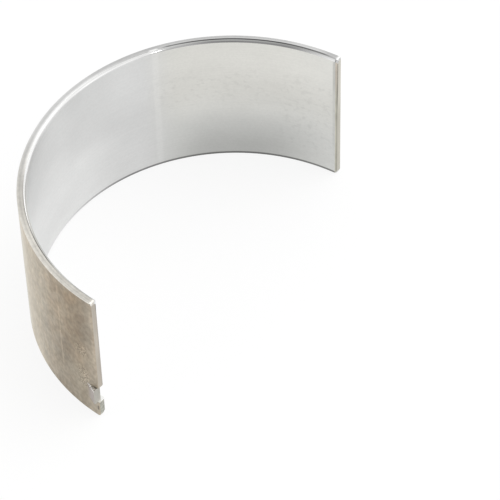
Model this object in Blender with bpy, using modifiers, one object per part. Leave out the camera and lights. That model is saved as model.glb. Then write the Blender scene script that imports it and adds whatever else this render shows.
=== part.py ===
"""Thin-wall half shell of a crankpin bearing, standing on one of its side faces.

The bearing's axis is vertical (+Z), the crown of the shell is at +Y, and the end with the
locating lug is at -X, with the lug near the lower side face. The shell is drawn loose: it is
sprung a little wider than its housing, so its ends stop short of a full half turn. The world's
origin is the bottom centre of its box.
"""

import math

import bmesh
import bpy
from mathutils import Matrix, Vector

# Driving sizes, in metres

HOUSING_RADIUS = 0.0342      # half of the bore that a pair of shells is clamped in
FREE_SPREAD = 0.0019         # how much wider than that bore the loose shell is
CRUSH_HEIGHT = 0.00004       # how far each joint face stands above the housing's split
WIDTH = 0.0280               # from side face to side face
WALL = 0.0015                # at the crown
WALL_DROP = 0.000015         # how much thinner the wall is a quarter turn from the crown

BORE_CHAMFER = 0.00036       # on the bore's edges, at both side faces
BACK_CHAMFER = 0.0001        # on the back's edges, all round
JOINT_CHAMFER = 0.00030      # on the bore's edge of each joint face
JOINT_CORNER = 0.0005        # rounding of each joint face's two corners at the side faces
RELIEF_DEPTH = 0.00003       # how far the bore is cleared at each joint face
RELIEF_LENGTH = 0.0060       # over which that clearance fades out

LUG_WIDTH = 0.0034           # along the bearing's axis
LUG_LENGTH = 0.0025          # round the back, from the joint face to the lug's foot
LUG_HEIGHT = 0.00085         # above the back, at the lug's stop face
LUG_OFFSET = 0.0036          # from the lower side face to the lug
LUG_SETBACK = 0.00025        # from the joint face to the stop face's inner edge
LUG_TILT = math.radians(2)   # how far the stop face leans back
LUG_ROUNDING = 0.0002        # on the lug's outer edges
POCKET_CLEARANCE = 0.0001    # how much wider than the lug its pocket is, on each side

# How finely the curves are cut, and how far a cutter runs past what it cuts

ARC_STEPS = 120
ROUNDING_STEPS = 3
CUTTER_MARGIN = 0.0005
SMOOTH_UP_TO = math.radians(25)

# Sizes that follow from these

FREE_RADIUS = HOUSING_RADIUS + FREE_SPREAD / 2
BORE_RADIUS = FREE_RADIUS - WALL
ARC = (math.pi * HOUSING_RADIUS + 2 * CRUSH_HEIGHT) / FREE_RADIUS
CROWN = math.pi / 2
PLAIN_END = CROWN - ARC / 2
LUG_END = CROWN + ARC / 2

PLAIN_REACH = FREE_RADIUS * math.cos(PLAIN_END)
LUG_REACH = PLAIN_REACH + LUG_HEIGHT
JOINT_LEVEL = (BORE_RADIUS + JOINT_CHAMFER) * math.sin(PLAIN_END)
AXIS_PLACE = Vector(((LUG_REACH - PLAIN_REACH) / 2, -(FREE_RADIUS + JOINT_LEVEL) / 2, 0.0))


def clear_scene():
    for item in list(bpy.data.objects):
        bpy.data.objects.remove(item, do_unlink=True)


def new_collection(name):
    collection = bpy.data.collections.new(name)
    bpy.context.scene.collection.children.link(collection)
    return collection


def new_object(name, shape, collection, parent):
    """Turn a bmesh into an object that is placed by its parent."""
    bmesh.ops.recalc_face_normals(shape, faces=shape.faces)
    mesh = bpy.data.meshes.new(name)
    shape.to_mesh(mesh)
    shape.free()
    item = bpy.data.objects.new(name, mesh)
    collection.objects.link(item)
    item.parent = parent
    return item


def lining_metal():
    """The pale satin metal of the bare shell."""
    metal = bpy.data.materials.new("bearing_metal")
    metal.use_nodes = True
    shader = metal.node_tree.nodes["Principled BSDF"]
    shader.inputs["Base Color"].default_value = (0.66, 0.65, 0.62, 1.0)
    shader.inputs["Metallic"].default_value = 1.0
    shader.inputs["Roughness"].default_value = 0.38
    return metal


# The wall


def wall_section(turn):
    """The wall's corners, as radius and height, at an angle round the bearing's axis.

    The bore moves outward towards the joint faces: a little all the way from the crown, then by
    the relief, and at the very end by the joint face's chamfer. There the side faces move in too,
    to round the joint face's corners.
    """
    from_joint = max(0.0, FREE_RADIUS * (ARC / 2 - abs(turn - CROWN)))
    drop = WALL_DROP * (1 - math.cos(turn - CROWN))
    relief = RELIEF_DEPTH * max(0.0, 1 - from_joint / RELIEF_LENGTH)
    bore = BORE_RADIUS + drop + relief + max(0.0, JOINT_CHAMFER - from_joint)
    back = FREE_RADIUS - max(0.0, BACK_CHAMFER - from_joint)
    side = JOINT_CORNER - math.sqrt(JOINT_CORNER**2 - max(0.0, JOINT_CORNER - from_joint) ** 2)
    lower_half = [
        (bore, side + BORE_CHAMFER),
        (bore + BORE_CHAMFER, side),
        (back - BACK_CHAMFER, side),
        (back, side + BACK_CHAMFER),
    ]
    upper_half = [(radius, WIDTH - height) for radius, height in reversed(lower_half)]
    return lower_half + upper_half


def wall_stations():
    """The angles at which the wall's section is drawn, closer together at the joint faces."""
    near_joint = [BACK_CHAMFER, JOINT_CHAMFER]
    for step in range(1, ROUNDING_STEPS + 1):
        near_joint.append(JOINT_CORNER * (1 - math.cos(math.pi / 2 * step / ROUNDING_STEPS)))
    stations = {PLAIN_END + ARC * step / ARC_STEPS for step in range(ARC_STEPS + 1)}
    for from_joint in near_joint:
        stations.add(PLAIN_END + from_joint / FREE_RADIUS)
        stations.add(LUG_END - from_joint / FREE_RADIUS)
    return sorted(stations)


def at_angle(turn, radius, height):
    return Vector((radius * math.cos(turn), radius * math.sin(turn), height))


def wall_shape():
    """Loft the wall round the axis, because a plain revolve would keep one thickness."""
    first, *others = wall_stations()
    shape = bmesh.new()
    end = shape.faces.new([shape.verts.new(at_angle(first, *corner)) for corner in wall_section(first)])
    for turn in others:
        end = bmesh.ops.extrude_discrete_faces(shape, faces=[end])["faces"][0]
        for vert, corner in zip(end.verts, wall_section(turn)):
            vert.co = at_angle(turn, *corner)
    bmesh.ops.holes_fill(shape, edges=shape.edges)
    return shape


# The locating lug, drawn in plan at the end that it stands on: X is outward and +Y leaves the wall


def plan_point(radius, from_joint):
    turn = from_joint / FREE_RADIUS
    return Vector((radius * math.cos(turn), -radius * math.sin(turn)))


LEAN = Matrix.Rotation(-LUG_TILT, 2) @ Vector((1.0, 0.0))
STOP_INNER = plan_point(BORE_RADIUS + LUG_HEIGHT, LUG_SETBACK)
STOP_OUTER = STOP_INNER + WALL * LEAN
LUG_FOOT = plan_point(FREE_RADIUS, LUG_LENGTH)
RAMP = (STOP_OUTER - LUG_FOOT).normalized()


def lug_plan():
    """The bent-out strip, from under the back to past the stop face, where the pocket trims it."""
    foot = LUG_FOOT - CUTTER_MARGIN * RAMP
    tip = STOP_OUTER + CUTTER_MARGIN * RAMP
    depth = (LUG_HEIGHT + WALL) / 2 * LEAN
    return [foot, tip, tip - depth, foot - depth]


def pocket_plan():
    """What the punch leaves open: the ramp under the lug, and the gap before the stop face."""
    ramp_start = LUG_FOOT - WALL * LEAN - CUTTER_MARGIN * RAMP
    stop_end = STOP_OUTER + 2 * CUTTER_MARGIN * LEAN
    return [
        ramp_start,
        STOP_INNER,
        stop_end,
        Vector((stop_end.x, CUTTER_MARGIN)),
        Vector((BORE_RADIUS - CUTTER_MARGIN, CUTTER_MARGIN)),
    ]


def plan_prism(plan, low, high):
    """Extrude an outline in plan between two heights."""
    shape = bmesh.new()
    base = shape.faces.new([shape.verts.new((point.x, point.y, low)) for point in plan])
    grown = bmesh.ops.extrude_face_region(shape, geom=[base])["geom"]
    top = [item for item in grown if isinstance(item, bmesh.types.BMVert)]
    bmesh.ops.translate(shape, verts=top, vec=(0.0, 0.0, high - low))
    return shape


def as_guide(item):
    item.hide_render = True
    item.display_type = "WIRE"
    item.rotation_euler.z = LUG_END
    return item


def locating_lug(collection, parent):
    shape = plan_prism(lug_plan(), LUG_OFFSET, LUG_OFFSET + LUG_WIDTH)
    lug = as_guide(new_object("locating_lug", shape, collection, parent))
    rounding = lug.modifiers.new("rounded_edges", "BEVEL")
    rounding.width = LUG_ROUNDING
    rounding.segments = ROUNDING_STEPS
    return lug


def lug_pocket(collection, parent):
    low = LUG_OFFSET - POCKET_CLEARANCE
    high = LUG_OFFSET + LUG_WIDTH + POCKET_CLEARANCE
    return as_guide(new_object("lug_pocket", plan_prism(pocket_plan(), low, high), collection, parent))


def combine(item, operation, tool):
    step = item.modifiers.new(tool.name, "BOOLEAN")
    step.operation = operation
    step.solver = "EXACT"
    step.object = tool


def bake_modifiers(item):
    """Keep what the modifiers make, so that its edges can be shaded sharp or smooth."""
    bpy.context.view_layer.update()
    evaluated = item.evaluated_get(bpy.context.evaluated_depsgraph_get())
    baked = bpy.data.meshes.new_from_object(evaluated)
    item.modifiers.clear()
    item.data = baked
    baked.shade_smooth()
    baked.set_sharp_from_angle(angle=SMOOTH_UP_TO)


def build():
    clear_scene()
    parts = new_collection("engine_bearing_shell")
    cutters = new_collection("cutters")

    axis = bpy.data.objects.new("bearing_axis", None)
    axis.location = AXIS_PLACE
    parts.objects.link(axis)

    shell = new_object("bearing_shell", wall_shape(), parts, axis)
    shell.data.materials.append(lining_metal())
    combine(shell, "UNION", locating_lug(cutters, axis))
    combine(shell, "DIFFERENCE", lug_pocket(cutters, axis))
    bake_modifiers(shell)


build()
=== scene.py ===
import math

import bmesh
import bpy
from mathutils import Matrix, Vector


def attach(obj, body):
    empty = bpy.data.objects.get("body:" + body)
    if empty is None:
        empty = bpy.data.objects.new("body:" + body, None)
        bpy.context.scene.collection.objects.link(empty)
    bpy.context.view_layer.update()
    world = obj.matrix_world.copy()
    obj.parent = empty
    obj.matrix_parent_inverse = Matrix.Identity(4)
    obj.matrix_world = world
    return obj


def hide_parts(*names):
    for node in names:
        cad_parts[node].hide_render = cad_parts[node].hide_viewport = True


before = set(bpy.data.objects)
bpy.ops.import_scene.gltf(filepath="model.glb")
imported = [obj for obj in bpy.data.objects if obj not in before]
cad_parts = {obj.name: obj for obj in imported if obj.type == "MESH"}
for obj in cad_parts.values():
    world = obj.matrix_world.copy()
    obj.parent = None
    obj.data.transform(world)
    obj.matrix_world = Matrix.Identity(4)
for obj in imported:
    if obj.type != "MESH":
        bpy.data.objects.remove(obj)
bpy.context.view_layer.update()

# The shell's sizes, in metres, as the frame's solid has them

HOUSING_RADIUS = 0.0342
FREE_SPREAD = 0.0019
CRUSH_HEIGHT = 0.00004
WIDTH = 0.0280
WALL = 0.0015
WALL_DROP = 0.000015
BORE_CHAMFER = 0.00036
BACK_CHAMFER = 0.0001
JOINT_CHAMFER = 0.00030
JOINT_CORNER = 0.0005
RELIEF_DEPTH = 0.00003
RELIEF_LENGTH = 0.0060
LUG_WIDTH = 0.0034
LUG_LENGTH = 0.0025
LUG_HEIGHT = 0.00085
LUG_OFFSET = 0.0036
LUG_SETBACK = 0.00025
LUG_TILT = math.radians(2)
LUG_ROUNDING = 0.0002
POCKET_CLEARANCE = 0.0001

FREE_RADIUS = HOUSING_RADIUS + FREE_SPREAD / 2
BORE_RADIUS = FREE_RADIUS - WALL
ARC = (math.pi * HOUSING_RADIUS + 2 * CRUSH_HEIGHT) / FREE_RADIUS
CROWN = math.pi / 2
PLAIN_END = CROWN - ARC / 2
LUG_END = CROWN + ARC / 2
LUG_START = FREE_RADIUS * ARC - LUG_LENGTH
JOINT_LEVEL = (BORE_RADIUS + JOINT_CHAMFER) * math.sin(PLAIN_END)
AXIS_PLACE = Vector((LUG_HEIGHT / 2, -(FREE_RADIUS + JOINT_LEVEL) / 2, 0.0))

# What the finer mesh adds to them

LINING = 0.0005
BOND_FADE = 0.00002
ARC_STEPS = 480
CORNER_STEPS = 8
LUG_ROUNDING_STEPS = 4
STATION_GAP = 0.00002
EDGE_ROUNDING = 0.00003
EDGE_ROUNDING_STEPS = 2
CUTTER_MARGIN = 0.0005
SMOOTH_UP_TO = math.radians(30)

# How far a normal must point one way for its face to look that way, out of 1
LOOKING = 0.7

# How far large faces outweigh small ones in the smoothed normals, where 50 is not at all
LARGE_FACE_WEIGHT = 100

# The camera, as the photograph has it: its place from the foot of the bearing's axis, in the
# photograph's own directions, and how far the shell is turned away from them

CAMERA_PLACE = Vector((0.003308, -0.318208, 0.353857))
CAMERA_PITCH = math.radians(47.1728)
CAMERA_ROLL = math.radians(1.5373)
CAMERA_LENS = 197.439
CAMERA_SENSOR = 36.0
CROWN_TURN = math.radians(142.9365)
FACING = Matrix.Rotation(CROWN - CROWN_TURN, 4, "Z")

# The finishes on the shell's surfaces, numbered in the order that make_finishes has them

BACK, SIDE, BORE, CHAMFER, JOINT, JOINT_EDGE, RAMP, LUG_EDGE, LUG_SIDE, STOP, POCKET = range(11)


# The shell's mesh


def wall_section(turn):
    """The wall's outline at an angle round the axis, as radii and heights from the lower bore edge."""
    from_joint = max(0.0, FREE_RADIUS * (ARC / 2 - abs(turn - CROWN)))
    drop = WALL_DROP * (1 - math.cos(turn - CROWN))
    relief = RELIEF_DEPTH * max(0.0, 1 - from_joint / RELIEF_LENGTH)
    bore = BORE_RADIUS + drop + relief + max(0.0, JOINT_CHAMFER - from_joint)
    back = FREE_RADIUS - max(0.0, BACK_CHAMFER - from_joint)
    side = JOINT_CORNER - math.sqrt(JOINT_CORNER**2 - max(0.0, JOINT_CORNER - from_joint) ** 2)
    lower_half = [
        (bore, side + BORE_CHAMFER),
        (bore + BORE_CHAMFER, side),
        (back - BACK_CHAMFER, side),
        (back, side + BACK_CHAMFER),
    ]
    upper_half = [(radius, WIDTH - height) for radius, height in reversed(lower_half)]
    return lower_half + upper_half


# The finish of each side of that outline, in the same order
SECTION_FINISHES = [CHAMFER, SIDE, SIDE, BACK, SIDE, SIDE, CHAMFER, BORE]


def wall_stations():
    """The angles to loft the wall through, which are closest together at its two ends."""
    near_joint = [BACK_CHAMFER, JOINT_CHAMFER]
    for step in range(1, CORNER_STEPS + 1):
        near_joint.append(JOINT_CORNER * (1 - math.cos(math.pi / 2 * step / CORNER_STEPS)))
    stations = {PLAIN_END + ARC * step / ARC_STEPS for step in range(ARC_STEPS + 1)}
    for from_joint in near_joint:
        stations.add(PLAIN_END + from_joint / FREE_RADIUS)
        stations.add(LUG_END - from_joint / FREE_RADIUS)
    kept = []
    for station in sorted(stations):
        if not kept or station - kept[-1] > STATION_GAP / FREE_RADIUS:
            kept.append(station)
    kept[-1] = LUG_END
    return kept


def at_angle(turn, radius, height):
    """The point at an angle round the axis, a radius and a height."""
    return Vector((radius * math.cos(turn), radius * math.sin(turn), height))


def wall_shape():
    """The wall's mesh, with a quad between every two stations and a face at each end."""
    shape = bmesh.new()
    rings = []
    for turn in wall_stations():
        rings.append([shape.verts.new(at_angle(turn, *corner)) for corner in wall_section(turn)])
    for ring, following in zip(rings, rings[1:]):
        middle = (ring[0].co + following[0].co) / 2
        turn = math.atan2(middle.y, middle.x)
        from_joint = FREE_RADIUS * (ARC / 2 - abs(turn - CROWN))
        for side, finish in enumerate(SECTION_FINISHES):
            if finish == BORE and from_joint < JOINT_CHAMFER:
                finish = JOINT_EDGE
            other = (side + 1) % len(ring)
            face = shape.faces.new([ring[side], ring[other], following[other], following[side]])
            face.material_index = finish
    for ring in (rings[0], rings[-1]):
        shape.faces.new(ring).material_index = JOINT
    bmesh.ops.recalc_face_normals(shape, faces=shape.faces)
    return shape


# The locating lug, drawn in plan at the end that it stands on: X is outward and +Y leaves the wall


def plan_point(radius, from_joint):
    """The point in plan at a radius, and at a distance back along the arc from the joint face."""
    turn = from_joint / FREE_RADIUS
    return Vector((radius * math.cos(turn), -radius * math.sin(turn)))


LEAN = Matrix.Rotation(-LUG_TILT, 2) @ Vector((1.0, 0.0))
STOP_INNER = plan_point(BORE_RADIUS + LUG_HEIGHT, LUG_SETBACK)
STOP_OUTER = STOP_INNER + WALL * LEAN
LUG_FOOT = plan_point(FREE_RADIUS, LUG_LENGTH)
RAMP_WAY = (STOP_OUTER - LUG_FOOT).normalized()


def lug_plan():
    """The lug, drawn into the wall at its foot and past the stop face, where the pocket trims it."""
    foot = LUG_FOOT - CUTTER_MARGIN * RAMP_WAY
    tip = STOP_OUTER + CUTTER_MARGIN * RAMP_WAY
    depth = (LUG_HEIGHT + WALL) / 2 * LEAN
    return [foot, tip, tip - depth, foot - depth]


def pocket_plan():
    """The pocket's cutter: from inside the ramp's start to the stop face, and out past the joint."""
    ramp_start = LUG_FOOT - WALL * LEAN - CUTTER_MARGIN * RAMP_WAY
    stop_end = STOP_OUTER + 2 * CUTTER_MARGIN * LEAN
    return [
        ramp_start,
        STOP_INNER,
        stop_end,
        Vector((stop_end.x, CUTTER_MARGIN)),
        Vector((BORE_RADIUS - CUTTER_MARGIN, CUTTER_MARGIN)),
    ]


def plan_prism(plan, low, high, finish_of):
    """A plan drawn up from one height to another, each face with the finish that a function gives."""
    shape = bmesh.new()
    base = shape.faces.new([shape.verts.new((point.x, point.y, low)) for point in plan])
    grown = bmesh.ops.extrude_face_region(shape, geom=[base])["geom"]
    top = [item for item in grown if isinstance(item, bmesh.types.BMVert)]
    bmesh.ops.translate(shape, verts=top, vec=(0.0, 0.0, high - low))
    bmesh.ops.recalc_face_normals(shape, faces=shape.faces)
    for face in shape.faces:
        face.material_index = finish_of(face)
    return shape


def new_object(name, shape, finishes):
    """A mesh object made from a shape, which is used up, with every finish in its slots."""
    mesh = bpy.data.meshes.new(name)
    shape.to_mesh(mesh)
    shape.free()
    for finish in finishes:
        mesh.materials.append(finish)
    item = bpy.data.objects.new(name, mesh)
    bpy.context.scene.collection.objects.link(item)
    return item


def combine(item, operation, tool):
    """Add a step that joins a solid to an item or cuts it out."""
    step = item.modifiers.new(tool.name, "BOOLEAN")
    step.operation = operation
    step.solver = "EXACT"
    step.object = tool


def bake_modifiers(item):
    """Turn an item's modifiers into its mesh, so that nothing is left to work out."""
    bpy.context.view_layer.update()
    evaluated = item.evaluated_get(bpy.context.evaluated_depsgraph_get())
    baked = bpy.data.meshes.new_from_object(evaluated)
    item.modifiers.clear()
    item.data = baked


def lug_finish(face):
    """The ramp is the face that looks outward."""
    return RAMP if face.normal.x > LOOKING else LUG_SIDE


def pocket_finish(face):
    """The cutter's ends leave the pocket's walls, one side the lug's stop face, the rest bore."""
    if abs(face.normal.z) > LOOKING:
        return POCKET
    return STOP if face.normal.y < -LOOKING else BORE


def make_guide(name, plan, clearance, finish_of, finishes):
    """The lug or its pocket, as a solid of its own that stands at the lug's end of the wall."""
    low, high = LUG_OFFSET - clearance, LUG_OFFSET + LUG_WIDTH + clearance
    guide = new_object(name, plan_prism(plan, low, high, finish_of), finishes)
    guide.rotation_euler.z = LUG_END
    return guide


def round_lug(lug):
    """Round all of the lug's edges, which have a finish of their own."""
    rounding = lug.modifiers.new("rounded_edges", "BEVEL")
    rounding.width = LUG_ROUNDING
    rounding.segments = LUG_ROUNDING_STEPS
    rounding.material = LUG_EDGE


def soften_edges(shell):
    """Break the shell's sharp edges, so that they catch the light."""
    edges = shell.modifiers.new("soft_edges", "BEVEL")
    edges.width = EDGE_ROUNDING
    edges.segments = EDGE_ROUNDING_STEPS
    edges.limit_method = "ANGLE"
    edges.angle_limit = SMOOTH_UP_TO


def remove_guide(guide):
    mesh = guide.data
    bpy.data.objects.remove(guide)
    bpy.data.meshes.remove(mesh)


def make_shell(finishes):
    """The bearing shell: the wall with its lug, its pocket and softened edges, in its place."""
    shell = new_object("bearing_shell_metal", wall_shape(), finishes)
    lug = make_guide("lug", lug_plan(), 0.0, lug_finish, finishes)
    pocket = make_guide("pocket", pocket_plan(), POCKET_CLEARANCE, pocket_finish, finishes)
    round_lug(lug)
    combine(shell, "UNION", lug)
    combine(shell, "DIFFERENCE", pocket)
    soften_edges(shell)
    bake_modifiers(shell)
    shell.data.shade_smooth()
    remove_guide(lug)
    remove_guide(pocket)
    even = shell.modifiers.new("even_normals", "WEIGHTED_NORMAL")
    even.weight = LARGE_FACE_WEIGHT
    bake_modifiers(shell)
    shell.location = AXIS_PLACE
    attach(shell, "root")
    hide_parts("bearing_shell")
    return shell


# Node trees, and the materials drawn with them

# Nearly all of a noise's values lie between these two
NOISE_LOW = 0.3
NOISE_HIGH = 0.7

# A noise is weakest at whole numbers, so each seed starts between them
SEED_OFFSETS = (0.37, 0.61, 0.83)

# The anisotropic rotation that turns the stretch by 90 degrees
QUARTER_TURN = 0.25


class Nodes:
    """Short ways to add to a node tree. A value is a number, a colour, a vector or a socket."""

    def __init__(self, tree):
        self.tree = tree

    def node(self, kind, **settings):
        """A new node of a kind, with its settings."""
        node = self.tree.nodes.new("ShaderNode" + kind)
        for name, value in settings.items():
            setattr(node, name, value)
        return node

    def feed(self, socket, value):
        """Link a socket to another one, or set it to a value."""
        if isinstance(value, bpy.types.NodeSocket):
            self.tree.links.new(value, socket)
        else:
            socket.default_value = value

    def calc(self, operation, *values):
        """The result of one step of arithmetic."""
        node = self.node("Math", operation=operation)
        for socket, value in zip(node.inputs, values):
            self.feed(socket, value)
        return node.outputs[0]

    def vector(self, operation, *values, output=0):
        """The result of one step with vectors. Output 0 is a vector and output 1 is a number."""
        node = self.node("VectorMath", operation=operation)
        for socket, value in zip(node.inputs, values):
            self.feed(socket, value)
        return node.outputs[output]

    def ramp(self, value, start, end, low=0.0, high=1.0):
        """A smooth step from one number to another, which is flat outside its two ends."""
        node = self.node("MapRange", interpolation_type="SMOOTHSTEP")
        for socket, given in zip(node.inputs, (value, start, end, low, high)):
            self.feed(socket, given)
        return node.outputs[0]


class Finish(Nodes):
    """The material of one kind of surface, drawn in the shell's own coordinates.

    They are the arc round the back from the plain end's joint face, the height above the lower
    side face and the radius, all in metres.
    """

    def __init__(self, name, roughness):
        self.material = bpy.data.materials.new(name)
        self.material.use_nodes = True
        super().__init__(self.material.node_tree)
        self.shader = self.tree.nodes["Principled BSDF"]
        self.shader.inputs["Metallic"].default_value = 1.0
        self.shader.inputs["Roughness"].default_value = roughness
        split = self.node("SeparateXYZ")
        self.feed(split.inputs[0], self.node("TexCoord").outputs["Object"])
        x, y, self.height = split.outputs
        turn = self.calc("SUBTRACT", self.calc("ARCTAN2", y, x), PLAIN_END)
        self.arc = self.calc("MULTIPLY", turn, FREE_RADIUS)
        squares = self.calc("ADD", self.calc("POWER", x, 2), self.calc("POWER", y, 2))
        self.radius = self.calc("SQRT", squares)
        unrolled = self.node("CombineXYZ")
        for socket, value in zip(unrolled.inputs, (self.arc, self.height, self.radius)):
            self.feed(socket, value)
        self.place = unrolled.outputs[0]

    # Masks, which run from 0 to 1, and levels

    def along(self, start, end, low=0.0, high=1.0):
        """A smooth step between two places on the arc."""
        return self.ramp(self.arc, start, end, low, high)

    def above(self, start, end, low=0.0, high=1.0):
        """A smooth step between two heights."""
        return self.ramp(self.height, start, end, low, high)

    def outward(self, start, end, low=0.0, high=1.0):
        """A smooth step between two radii."""
        return self.ramp(self.radius, start, end, low, high)

    def levels(self, *stops):
        """A smooth curve along the arc through stops, which are places with their levels."""
        total = stops[0][1]
        for (start, low), (end, high) in zip(stops, stops[1:]):
            if low != high:
                total = self.calc("ADD", self.along(start, end, 0.0, high - low), total)
        return total

    def near(self, value, middle, reach, fade):
        """1 within a reach of a value's middle, and 0 from there and the fade on."""
        distance = self.calc("ABSOLUTE", self.calc("SUBTRACT", value, middle))
        return self.ramp(distance, reach, reach + fade, 1.0, 0.0)

    def patch(self, arc, height, arc_reach, height_reach, fade):
        """1 in a soft patch of the unrolled surface, and 0 away from it."""
        across = self.near(self.arc, arc, arc_reach, fade)
        return self.both(across, self.near(self.height, height, height_reach, fade))

    def stroke(self, start, end, width):
        """1 along a straight mark between two places on the unrolled surface, and 0 away from it."""
        way = Vector((*end, 0.0)) - Vector((*start, 0.0))
        flat = self.vector("MULTIPLY", self.place, (1.0, 1.0, 0.0))
        offset = self.vector("SUBTRACT", flat, (*start, 0.0))
        along = self.vector("DOT_PRODUCT", offset, way / way.length_squared, output=1)
        reached = self.scaled(way, self.calc("MINIMUM", self.calc("MAXIMUM", along, 0.0), 1.0))
        return self.ramp(self.vector("DISTANCE", offset, reached, output=1), 0.0, width, 1.0, 0.0)

    def at_lug_end(self):
        """1 on the lug's half of the shell, and 0 on the plain end's half."""
        return self.calc("GREATER_THAN", self.arc, FREE_RADIUS * ARC / 2)

    def both(self, first, second):
        """A mask where two masks meet."""
        return self.calc("MULTIPLY", first, second)

    def either(self, first, second):
        """A mask that takes in two masks."""
        return self.calc("MAXIMUM", first, second)

    # Noise

    def noise(self, *cells, detail=2.0, seed=0.0):
        """Noise with its own number of cells in a metre of arc, height and radius."""
        node = self.node("TexNoise")
        node.inputs["Scale"].default_value = 1.0
        node.inputs["Detail"].default_value = detail
        start = tuple(seed + offset for offset in SEED_OFFSETS)
        self.feed(node.inputs["Vector"], self.vector("MULTIPLY_ADD", self.place, cells, start))
        return node.outputs[0]

    def shade(self, *cells, low, high, detail=2.0, seed=0.0):
        """The same noise, spread between two numbers."""
        noise = self.noise(*cells, detail=detail, seed=seed)
        return self.ramp(noise, NOISE_LOW, NOISE_HIGH, low, high)

    # Colour and shading

    def scaled(self, vector, amount):
        """A vector or a colour, times an amount."""
        node = self.node("VectorMath", operation="SCALE")
        self.feed(node.inputs[0], vector)
        self.feed(node.inputs["Scale"], amount)
        return node.outputs[0]

    def change(self, mask, amount):
        """What to multiply a colour by, to change it by an amount where a mask is 1."""
        return self.calc("MULTIPLY_ADD", mask, amount, 1.0)

    def mix(self, amount, first, second):
        """The first colour where an amount is 0, the second where it is 1, and a blend between."""
        node = self.node("Mix", data_type="RGBA")
        self.feed(node.inputs[0], amount)
        for socket, color in ((node.inputs[6], first), (node.inputs[7], second)):
            self.feed(socket, color if isinstance(color, bpy.types.NodeSocket) else (*color, 1.0))
        return node.outputs[2]

    def paint(self, color, *amounts):
        """Set the base colour to one colour, times any number of amounts."""
        total = 1.0
        for amount in amounts:
            total = self.calc("MULTIPLY", total, amount)
        self.feed(self.shader.inputs["Base Color"], self.scaled(color, total))

    def roughen(self, value):
        """Let the roughness change from place to place."""
        self.feed(self.shader.inputs["Roughness"], value)

    def stretch(self, amount):
        """Stretch reflections across the turning lines, which run round the bearing's axis."""
        self.shader.inputs["Anisotropic"].default_value = amount
        self.shader.inputs["Anisotropic Rotation"].default_value = QUARTER_TURN

    def bump(self, height, distance):
        """Make the surface look uneven, with a height that runs from 0 to 1 over a distance."""
        node = self.node("Bump")
        node.inputs["Distance"].default_value = distance
        self.feed(node.inputs["Height"], height)
        self.feed(self.shader.inputs["Normal"], node.outputs[0])


# The finishes. Colours are linear, and places are arcs, heights and radii in metres

WARM_FLASH = (0.73, 0.68, 0.605)
GREEN_FLASH = (0.70, 0.70, 0.63)
WORN_FLASH = (0.625, 0.553, 0.438)
STAIN = (0.362, 0.283, 0.197)
JOINT_STAIN = (0.415, 0.35, 0.272)
LOW_DARK_TONE = (0.345, 0.312, 0.25)
GREEN_FILM = (0.45, 0.46, 0.38)
SCRATCH_WIDTH = 0.0003

# How far the ragged line between clean and worn metal wanders along the arc
WANDER = 0.008

# Straight marks on the back, scratches and a painted shadow below the lug's lower end: where each starts
# and ends, and how it changes the tone
SCRATCHES_AND_SHADOW = [
    ((0.0992, 0.0275), (0.0990, 0.0150), 0.20),
    ((0.0990, 0.0150), (0.0991, 0.0072), 0.32),
    ((0.1015, 0.0235), (0.1028, 0.0175), 0.12),
    ((0.0998, 0.0245), (0.1008, 0.0215), 0.12),
    ((0.1072, 0.0017), (0.1072, 0.0024), -0.55),
]

# Soft patches on the back: their middle, how far they reach both ways, their fade and the change
PATCHES = [
    (0.1042, 0.0195, 0.0012, 0.0050, 0.0025, -0.10),
    (0.0957, 0.0060, 0.0015, 0.0060, 0.0035, -0.12),
    (0.0925, 0.0160, 0.0010, 0.0030, 0.0030, -0.09),
    (0.1002, 0.0135, 0.0006, 0.0012, 0.0020, -0.10),
]

# Two rubbed places close above the lug
RUBBED = [
    (0.1044, 0.0080, 0.0006, 0.0018, 0.0012),
    (0.1042, 0.0147, 0.0008, 0.0008, 0.0010),
]


def back_tone(finish, ragged, worn):
    """The back's flash, which is worn and stained towards the lug along a ragged line."""
    clean = finish.mix(finish.shade(70, 50, 0, low=0.0, high=1.0, seed=41.0), WARM_FLASH, GREEN_FLASH)
    flash = finish.mix(finish.ramp(ragged, 0.083, 0.092), clean, WORN_FLASH)
    stain = finish.mix(finish.along(0.1035, 0.107), STAIN, JOINT_STAIN)
    tone = finish.mix(finish.ramp(ragged, 0.091, 0.107), flash, stain)
    film = finish.shade(350, 350, 0, low=0.0, high=0.15, detail=4.0, seed=29.0)
    tone = finish.mix(finish.both(worn, film), tone, GREEN_FILM)
    # Darker towards the bottom between 94 and 103 mm of arc
    low = finish.both(finish.above(0.006, 0.016, 0.6, 0.0), finish.along(0.094, 0.103))
    return finish.mix(low, tone, LOW_DARK_TONE)


def back_marks(finish):
    """The scratches, a painted shadow below the lug's lower end, the soft patches, the rubbed places near
    the lug and painted light by the joint.
    """
    marks = []
    for start, end, amount in SCRATCHES_AND_SHADOW:
        marks.append(finish.change(finish.stroke(start, end, SCRATCH_WIDTH), amount))
    for *patch, amount in PATCHES:
        marks.append(finish.change(finish.patch(*patch), amount))
    scuffs = finish.shade(3200, 3600, 0, low=-0.3, high=0.3, detail=0.0, seed=33.0)
    rubbed = finish.either(*[finish.patch(*place) for place in RUBBED])
    marks.append(finish.change(rubbed, scuffs))
    # Painted light by the lug end's joint: lighter towards the foot and darker towards the top
    at_joint = finish.along(0.1035, 0.1060)
    marks.append(finish.change(at_joint, finish.above(0.004, 0.026, 0.10, -0.12)))
    return marks


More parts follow.
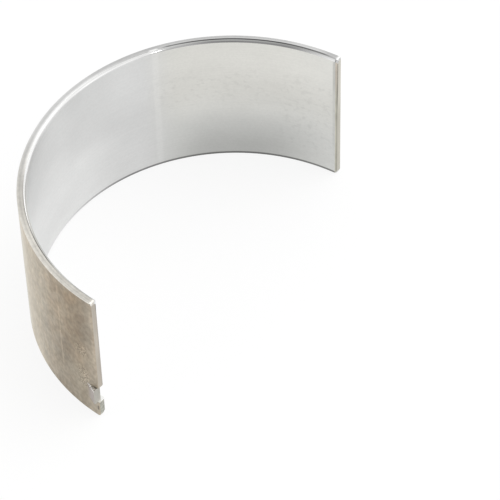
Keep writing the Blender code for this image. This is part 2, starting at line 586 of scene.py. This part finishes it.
def rolled_back():
    """The back: smooth and pale from the plain end on, mottled and scratched near the lug, with painted
    highlights and shade.
    """
    finish = Finish("rolled_back", roughness=0.42)
    uneven_line = finish.noise(180, 120, 0, detail=4.0, seed=3.0)
    ragged = finish.calc("MULTIPLY_ADD", uneven_line, WANDER, finish.arc)
    worn = finish.ramp(ragged, 0.080, 0.100, 0.1, 1.0)
    bands = finish.shade(500, 12, 0, low=-0.06, high=0.06, seed=11.0)
    clouds = finish.shade(260, 200, 0, low=-0.10, high=0.10, detail=5.0, seed=13.0)
    specks = finish.shade(1400, 1100, 0, low=-0.15, high=0.13, detail=5.0, seed=17.0)
    mottling = [finish.change(worn, pattern) for pattern in (bands, clouds, specks)]
    # Painted highlights: a lighter band at 81 to 88 mm of arc, and a glint at the lug end's top corner
    light = finish.levels(
        (0.076, 1.0), (0.0815, 1.10), (0.084, 1.10), (0.088, 1.0), (0.1067, 1.0), (0.1071, 1.16),
    )
    finish.paint(back_tone(finish, ragged, worn), light, *mottling, *back_marks(finish))
    uneven = finish.shade(500, 500, 0, low=-0.05, high=0.05, seed=19.0)
    finish.roughen(finish.calc("MULTIPLY_ADD", worn, uneven, 0.41))
    return finish.material


def side_face():
    """The turned side face, with a painted highlight on its outer edge and a strip that changes
    along the arc.

    The levels are painted light and shade: how light the photograph shows each part of it,
    along the arc.
    """
    finish = Finish("side_face", roughness=0.33)
    lines = finish.shade(15, 0, 3000, low=0.86, high=1.10, detail=1.0, seed=4.0)
    clouds = finish.shade(150, 0, 500, low=0.94, high=1.06, seed=1.0)
    specks = finish.shade(1500, 0, 2500, low=-0.07, high=0.07, detail=1.0, seed=37.0)
    grain = finish.change(finish.along(0.060, 0.090, 0.3, 1.0), specks)
    inner = BORE_RADIUS + BORE_CHAMFER
    # A strip just outside the bore chamfer, darker along most of the arc, with a painted highlight where
    # the lamp's glint falls at 34 to 35 mm
    strip = finish.near(finish.radius, inner + 0.0002, 0.00011, 0.00012)
    strip_level_with_glint = finish.levels(
        (0.0010, 0.0), (0.0035, -0.66), (0.006, -0.76), (0.012, -0.84), (0.022, -0.84),
        (0.028, -0.74), (0.0315, -0.6), (0.0334, -0.1), (0.0342, 0.6), (0.0349, 0.6), (0.0357, 0.0),
        (0.040, 0.0), (0.047, 0.2), (0.070, 0.2), (0.077, 0.0),
    )
    dark_line = finish.near(finish.radius, inner + 0.00006, 0.00003, 0.00009)
    line_level = finish.levels(
        (0.070, 0.0), (0.080, -0.5), (0.086, -0.6), (0.0895, -0.9), (0.094, -0.9), (0.099, -0.2),
        (0.103, -0.1),
    )
    # A painted highlight along the outer edge, from 55 mm of arc on
    outer_edge = finish.outward(FREE_RADIUS - 0.0004, FREE_RADIUS - 0.0001)
    edge_highlight = finish.levels(
        (0.030, 0.0), (0.055, 0.12), (0.092, 0.12), (0.096, 0.20), (0.098, 0.18), (0.102, 0.0),
    )
    # Painted light and shade along the arc, with a painted glint at the plain end's corner
    light = finish.levels(
        (0.0003, 1.20), (0.0008, 0.86), (0.0015, 0.86), (0.005, 1.15), (0.0078, 1.15),
        (0.0107, 1.0), (0.039, 1.0), (0.050, 1.14), (0.056, 1.24), (0.061, 1.24), (0.068, 1.10),
        (0.075, 1.0), (0.083, 1.0), (0.086, 1.10), (0.089, 1.10), (0.092, 1.02), (0.095, 1.06),
        (0.101, 0.95), (0.104, 0.88), (0.1067, 0.90), (0.1072, 1.06),
    )
    tone = finish.mix(finish.along(0.060, 0.085), (0.545, 0.545, 0.54), (0.58, 0.56, 0.515))
    changes = [(strip, strip_level_with_glint), (dark_line, line_level), (outer_edge, edge_highlight)]
    finish.paint(tone, lines, clouds, grain, light, *[finish.change(*pair) for pair in changes])
    return finish.material


def bored_lining():
    """The bore, with painted shade low in the middle and along its lower edge, painted light in other
    places, and scuffs near the plain end.
    """
    finish = Finish("bored_lining", roughness=0.28)
    finish.stretch(0.85)
    # A painted reflection tint: warmer from 6 to 18 mm up near the plain end, cooler below
    warm_reflection_tint = finish.both(finish.above(0.006, 0.018), finish.along(0.001, 0.012, 0.8, 1.0))
    plain_side = finish.mix(warm_reflection_tint, (0.679, 0.683, 0.662), (0.682, 0.676, 0.64))
    tone = finish.mix(finish.along(0.030, 0.038), plain_side, (0.674, 0.676, 0.670))
    # Painted shade low in the middle, high near the crown and along the lower edge; painted light low on
    # the lug's side and along the upper rim
    middle = finish.near(finish.arc, 0.019, 0.004, 0.018)
    low_middle_shade = finish.both(middle, finish.above(0.002, 0.014, 1.0, 0.0))
    high_crown_shade = finish.both(finish.near(finish.arc, 0.049, 0.002, 0.007), finish.above(0.010, 0.016))
    low_lug_side_light = finish.both(finish.along(0.040, 0.053), finish.above(0.009, 0.024, 1.0, 0.0))
    foot_shadow_line = finish.both(finish.above(0.0007, 0.0009, 1.0, 0.0), finish.along(0.040, 0.062, 1.0, 0.0))
    rim_highlight = finish.both(finish.above(0.0270, 0.0275), finish.along(0.055, 0.062))
    # A painted lamp streak down the bore at 34.5 mm of arc
    painted_lamp_streak = finish.near(finish.arc, 0.0345, 0.0003, 0.0006)
    end_line = finish.along(0.0006, 0.0010, 1.0, 0.0)
    end_level = finish.both(finish.above(0.004, 0.010), finish.above(0.018, 0.023, -0.12, -0.28))
    rubbed = finish.ramp(finish.noise(900, 1000, 0, detail=5.0, seed=31.0), 0.50, 0.68)
    by_joint = finish.patch(0.005, 0.012, 0.004, 0.007, 0.005)
    scuffs = finish.both(rubbed, finish.either(by_joint, finish.patch(0.024, 0.0175, 0.008, 0.001, 0.006)))
    # Painted light: lighter higher up near the plain end
    upper_part = finish.above(0.014, 0.025)
    upper_light_level = finish.along(0.004, 0.034, 0.17, 0.04)
    changes = [
        (low_middle_shade, -0.31),
        (high_crown_shade, -0.06),
        (low_lug_side_light, 0.17),
        (foot_shadow_line, -0.65),
        (rim_highlight, 0.16),
        (painted_lamp_streak, 0.05),
        (end_line, end_level),
        (scuffs, -0.07),
        (upper_part, upper_light_level),
    ]
    clouds = finish.shade(90, 130, 0, low=0.97, high=1.02, detail=4.0, seed=5.0)
    lines = finish.shade(30, 4500, 0, low=0.985, high=1.01, seed=7.0)
    grain = finish.shade(2000, 2000, 0, low=0.985, high=1.015, detail=1.0, seed=6.0)
    finish.paint(tone, clouds, lines, grain, *[finish.change(*pair) for pair in changes])
    return finish.material


def bore_chamfer():
    """The smooth chamfer on the bore's edge, with painted reflections along the arc, brightest near the
    lug end as in the photograph.
    """
    finish = Finish("bore_chamfer", roughness=0.12)
    lines = finish.shade(40, 0, 9000, low=0.93, high=1.05, seed=2.0)
    # Painted reflections along the arc, with a painted glint at the lug end's corner
    light = finish.levels(
        (0.006, 0.98), (0.011, 1.08), (0.020, 1.08), (0.025, 0.90), (0.032, 0.90), (0.036, 1.14),
        (0.038, 1.14), (0.043, 0.98), (0.076, 1.0), (0.085, 1.42), (0.090, 1.32), (0.093, 1.32),
        (0.097, 1.52), (0.0995, 1.52), (0.104, 0.88), (0.1065, 0.88), (0.1070, 1.30),
    )
    finish.paint((0.58, 0.58, 0.575), lines, light)
    return finish.material


def joint_face():
    """The machined joint faces, with a greener and rougher end below the lug.

    Both show the lining as a darker inner strip. The plain end's is darkest at the top, and the
    lug end has a dark place and then a painted glint at its top corner.
    """
    finish = Finish("joint_face", roughness=0.38)
    bond = BORE_RADIUS + LINING
    lug_end = finish.at_lug_end()
    steel = finish.outward(bond - BOND_FADE, bond + BOND_FADE)
    lug_steel = finish.both(steel, lug_end)
    lug_lining = finish.both(finish.calc("SUBTRACT", 1.0, steel), lug_end)
    plain_steel = finish.mix(finish.above(0.013, 0.020), (0.53, 0.51, 0.445), (0.63, 0.61, 0.54))
    steel_tone = finish.mix(lug_end, plain_steel, (0.505, 0.46, 0.395))
    plain_lining = finish.mix(finish.above(0.015, 0.021), (0.47, 0.445, 0.385), (0.08, 0.075, 0.06))
    lining_tone = finish.mix(lug_end, plain_lining, (0.44, 0.405, 0.36))
    tone = finish.mix(steel, lining_tone, steel_tone)
    below_lug = finish.both(finish.above(0.0030, 0.0040, 1.0, 0.0), lug_end)
    tone = finish.mix(below_lug, tone, (0.41, 0.41, 0.36))
    specks = finish.shade(0, 2200, 2200, low=-0.2, high=0.2, detail=1.0, seed=27.0)
    lines = finish.shade(0, 150, 7000, low=0.93, high=1.05, seed=8.0)
    dark_corner = finish.both(finish.near(finish.height, 0.0269, 0.0004, 0.0015), lug_lining)
    # A painted glint at the lug end's top corner
    corner_glint = finish.both(finish.above(0.0274, 0.0276), lug_end)
    light_middle = finish.both(finish.near(finish.height, 0.0175, 0.002, 0.002), lug_steel)
    changes = [(below_lug, specks), (dark_corner, -0.5), (corner_glint, 0.2), (light_middle, 0.08)]
    finish.paint(tone, lines, *[finish.change(*pair) for pair in changes])
    return finish.material


def joint_chamfer():
    """The chamfer on the bore's edge at both joint faces, which is tan at the plain end's top and has a
    painted glint at the lug end's top corner.
    """
    finish = Finish("joint_chamfer", roughness=0.35)
    lug_end = finish.at_lug_end()
    grey = finish.either(lug_end, finish.above(0.019, 0.024, 1.0, 0.0))
    inner = finish.outward(BORE_RADIUS + 0.0001, BORE_RADIUS + 0.0002, 1.0, 0.0)
    plain_tone = finish.mix(finish.above(0.019, 0.024), (0.38, 0.37, 0.32), (0.52, 0.475, 0.41))
    tone = finish.mix(lug_end, plain_tone, (0.33, 0.325, 0.285))
    lines = finish.shade(0, 400, 0, low=0.9, high=1.1, seed=9.0)
    # A painted glint at the lug end's top corner
    corner_glint = finish.both(finish.above(0.0270, 0.0274), lug_end)
    changes = [(finish.both(inner, grey), 0.45), (corner_glint, 0.9)]
    finish.paint(tone, lines, *[finish.change(*pair) for pair in changes])
    return finish.material


def lug_ramp():
    """The lug's outer face, which is stained like the back where it leaves the wall."""
    finish = Finish("lug_ramp", roughness=0.45)
    risen = finish.along(LUG_START, LUG_START + 0.0012)
    tone = finish.mix(risen, (0.40, 0.34, 0.27), (0.44, 0.395, 0.365))
    finish.paint(tone, finish.shade(900, 900, 0, low=0.9, high=1.08, seed=22.0))
    return finish.material


def lug_edge():
    """The lug's rounded edges: bright sheared metal in specks, painted pale as a highlight."""
    finish = Finish("lug_edge", roughness=0.7)
    specks = finish.shade(3400, 3400, 0, low=0.3, high=1.25, detail=1.0, seed=24.0)
    # The pale colour is partly the bright sheared metal and partly a painted highlight
    finish.paint((0.85, 0.82, 0.78), specks)
    return finish.material


def lug_side():
    """The torn metal on the lug's two sides."""
    finish = Finish("lug_side", roughness=0.55)
    # Painted shade: darker where the lug's sides meet the wall, lighter towards the lug's top
    light = finish.outward(FREE_RADIUS, FREE_RADIUS + LUG_HEIGHT, 0.7, 1.15)
    specks = finish.shade(3200, 3200, 3200, low=0.45, high=1.9, detail=1.0, seed=21.0)
    finish.paint((0.50, 0.47, 0.42), light, specks)
    finish.bump(finish.noise(3000, 3000, 3000, seed=23.0), 0.00006)
    return finish.material


def lug_stop():
    """The lug's stop face, with fine lines along the shell's width."""
    finish = Finish("lug_stop", roughness=0.45)
    finish.paint((0.48, 0.465, 0.42), finish.shade(0, 400, 5000, low=0.93, high=1.05, seed=25.0))
    return finish.material


def pocket_wall():
    """The pocket's two bright cut walls."""
    finish = Finish("pocket_wall", roughness=0.3)
    finish.paint((0.85, 0.85, 0.83), finish.shade(600, 5000, 600, low=0.95, high=1.03, seed=26.0))
    return finish.material


def make_finishes():
    """All the finishes, in the order of their numbers."""
    return [
        rolled_back(),
        side_face(),
        bored_lining(),
        bore_chamfer(),
        joint_face(),
        joint_chamfer(),
        lug_ramp(),
        lug_edge(),
        lug_side(),
        lug_stop(),
        pocket_wall(),
    ]


make_shell(make_finishes())


# The studio, with directions as an azimuth and an elevation in degrees. An azimuth of 0 is to the
# photograph's right and 90 is away from the camera

# Soft lights round the shell: an azimuth, an elevation, how wide each spreads and how strong it is
SOFT_LIGHTS = [
    # A low ring of pale walls, which is open behind the camera
    (0, 15, 50, 0.60),
    (45, 15, 50, 0.80),
    (90, 15, 50, 0.45),
    (135, 15, 50, 0.70),
    (180, 15, 50, 0.70),
    (225, 15, 50, 0.45),
    (315, 15, 50, 0.80),
    # Three lights above it and one overhead
    (0, 50, 50, 0.85),
    (60, 50, 50, 0.70),
    (300, 50, 50, 0.30),
    (0, 90, 50, 0.70),
    # Two narrower lights: on the back from the left, and on the bore and its lower edge
    (200, 32, 30, 0.70),
    (42, 0, 24, 0.60),
    # A dark card, which the plain end's side face reflects
    (322, 37, 26, -0.40),
]
FLOOR_SIZE = 4.0
FLOOR_COLOR = (0.95, 0.95, 0.95, 1.0)
FLOOR_GLOW = 0.85
LAMP_DISTANCE = 1.5
LAMP_SIZE = 0.04
LAMP_POWER = 0.25
LAMP_AZIMUTH = -50.5
LAMP_ELEVATION = 45


def direction(azimuth, elevation):
    """A studio direction as a vector in the frame's own axes."""
    turn, rise = math.radians(azimuth), math.radians(elevation)
    flat = Vector((math.cos(turn) * math.cos(rise), math.sin(turn) * math.cos(rise), math.sin(rise)))
    return FACING @ flat


def make_floor():
    """Pale paper, which the camera and the metal's reflections see close to white."""
    bpy.ops.mesh.primitive_plane_add(size=FLOOR_SIZE, location=(0, 0, 0))
    floor = bpy.context.object
    floor.name = "floor"
    paper = bpy.data.materials.new("floor")
    paper.use_nodes = True
    nodes = Nodes(paper.node_tree)
    shader = paper.node_tree.nodes["Principled BSDF"]
    shader.inputs["Base Color"].default_value = FLOOR_COLOR
    shader.inputs["Roughness"].default_value = 1.0
    shader.inputs["Specular IOR Level"].default_value = 0.0
    path = nodes.node("LightPath").outputs
    seen = nodes.calc("ADD", path["Is Camera Ray"], path["Is Glossy Ray"])
    seen = nodes.calc("ADD", seen, path["Is Transmission Ray"])
    blend = nodes.node("MixShader")
    nodes.feed(blend.inputs[0], nodes.calc("MULTIPLY", seen, FLOOR_GLOW))
    nodes.feed(blend.inputs[1], shader.outputs[0])
    nodes.feed(blend.inputs[2], nodes.node("Emission").outputs[0])
    nodes.feed(paper.node_tree.nodes["Material Output"].inputs["Surface"], blend.outputs[0])
    floor.data.materials.append(paper)


def make_sky():
    """The soft lights, drawn into the world's background."""
    world = bpy.data.worlds.new("studio")
    bpy.context.scene.world = world
    world.use_nodes = True
    sky = Nodes(world.node_tree)
    towards = sky.node("TexCoord").outputs["Generated"]
    level = 0.0
    for azimuth, elevation, spread, strength in SOFT_LIGHTS:
        nearness = sky.vector("DOT_PRODUCT", towards, direction(azimuth, elevation), output=1)
        glow = sky.ramp(nearness, math.cos(math.radians(spread)), 1.0, 0.0, strength)
        level = sky.calc("ADD", glow, level)
    sky.feed(world.node_tree.nodes["Background"].inputs["Strength"], level)
    world.node_tree.nodes["Background"].inputs["Color"].default_value = (1, 1, 1, 1)


def make_lamp():
    """The small lamp that makes the glint on the bore chamfer."""
    data = bpy.data.lights.new("small_lamp", "AREA")
    data.shape = "DISK"
    data.size = LAMP_SIZE
    data.energy = LAMP_POWER
    lamp = bpy.data.objects.new("small_lamp", data)
    bpy.context.scene.collection.objects.link(lamp)
    towards = direction(LAMP_AZIMUTH, LAMP_ELEVATION)
    lamp.location = AXIS_PLACE + LAMP_DISTANCE * towards
    lamp.rotation_euler = towards.to_track_quat("Z", "Y").to_euler()


def make_camera():
    """The camera, where the photograph's stood."""
    data = bpy.data.cameras.new("camera")
    camera = bpy.data.objects.new("camera", data)
    bpy.context.scene.collection.objects.link(camera)
    data.lens = CAMERA_LENS
    data.sensor_width = CAMERA_SENSOR
    tilt = Matrix.Rotation(math.pi / 2 - CAMERA_PITCH, 4, "X")
    roll = Matrix.Rotation(-CAMERA_ROLL, 4, "Z")
    place = Matrix.Translation(AXIS_PLACE + FACING @ CAMERA_PLACE)
    camera.matrix_world = place @ FACING @ tilt @ roll
    bpy.context.scene.camera = camera


make_floor()
make_sky()
make_lamp()
make_camera()
bpy.context.scene.view_settings.view_transform = "Standard"
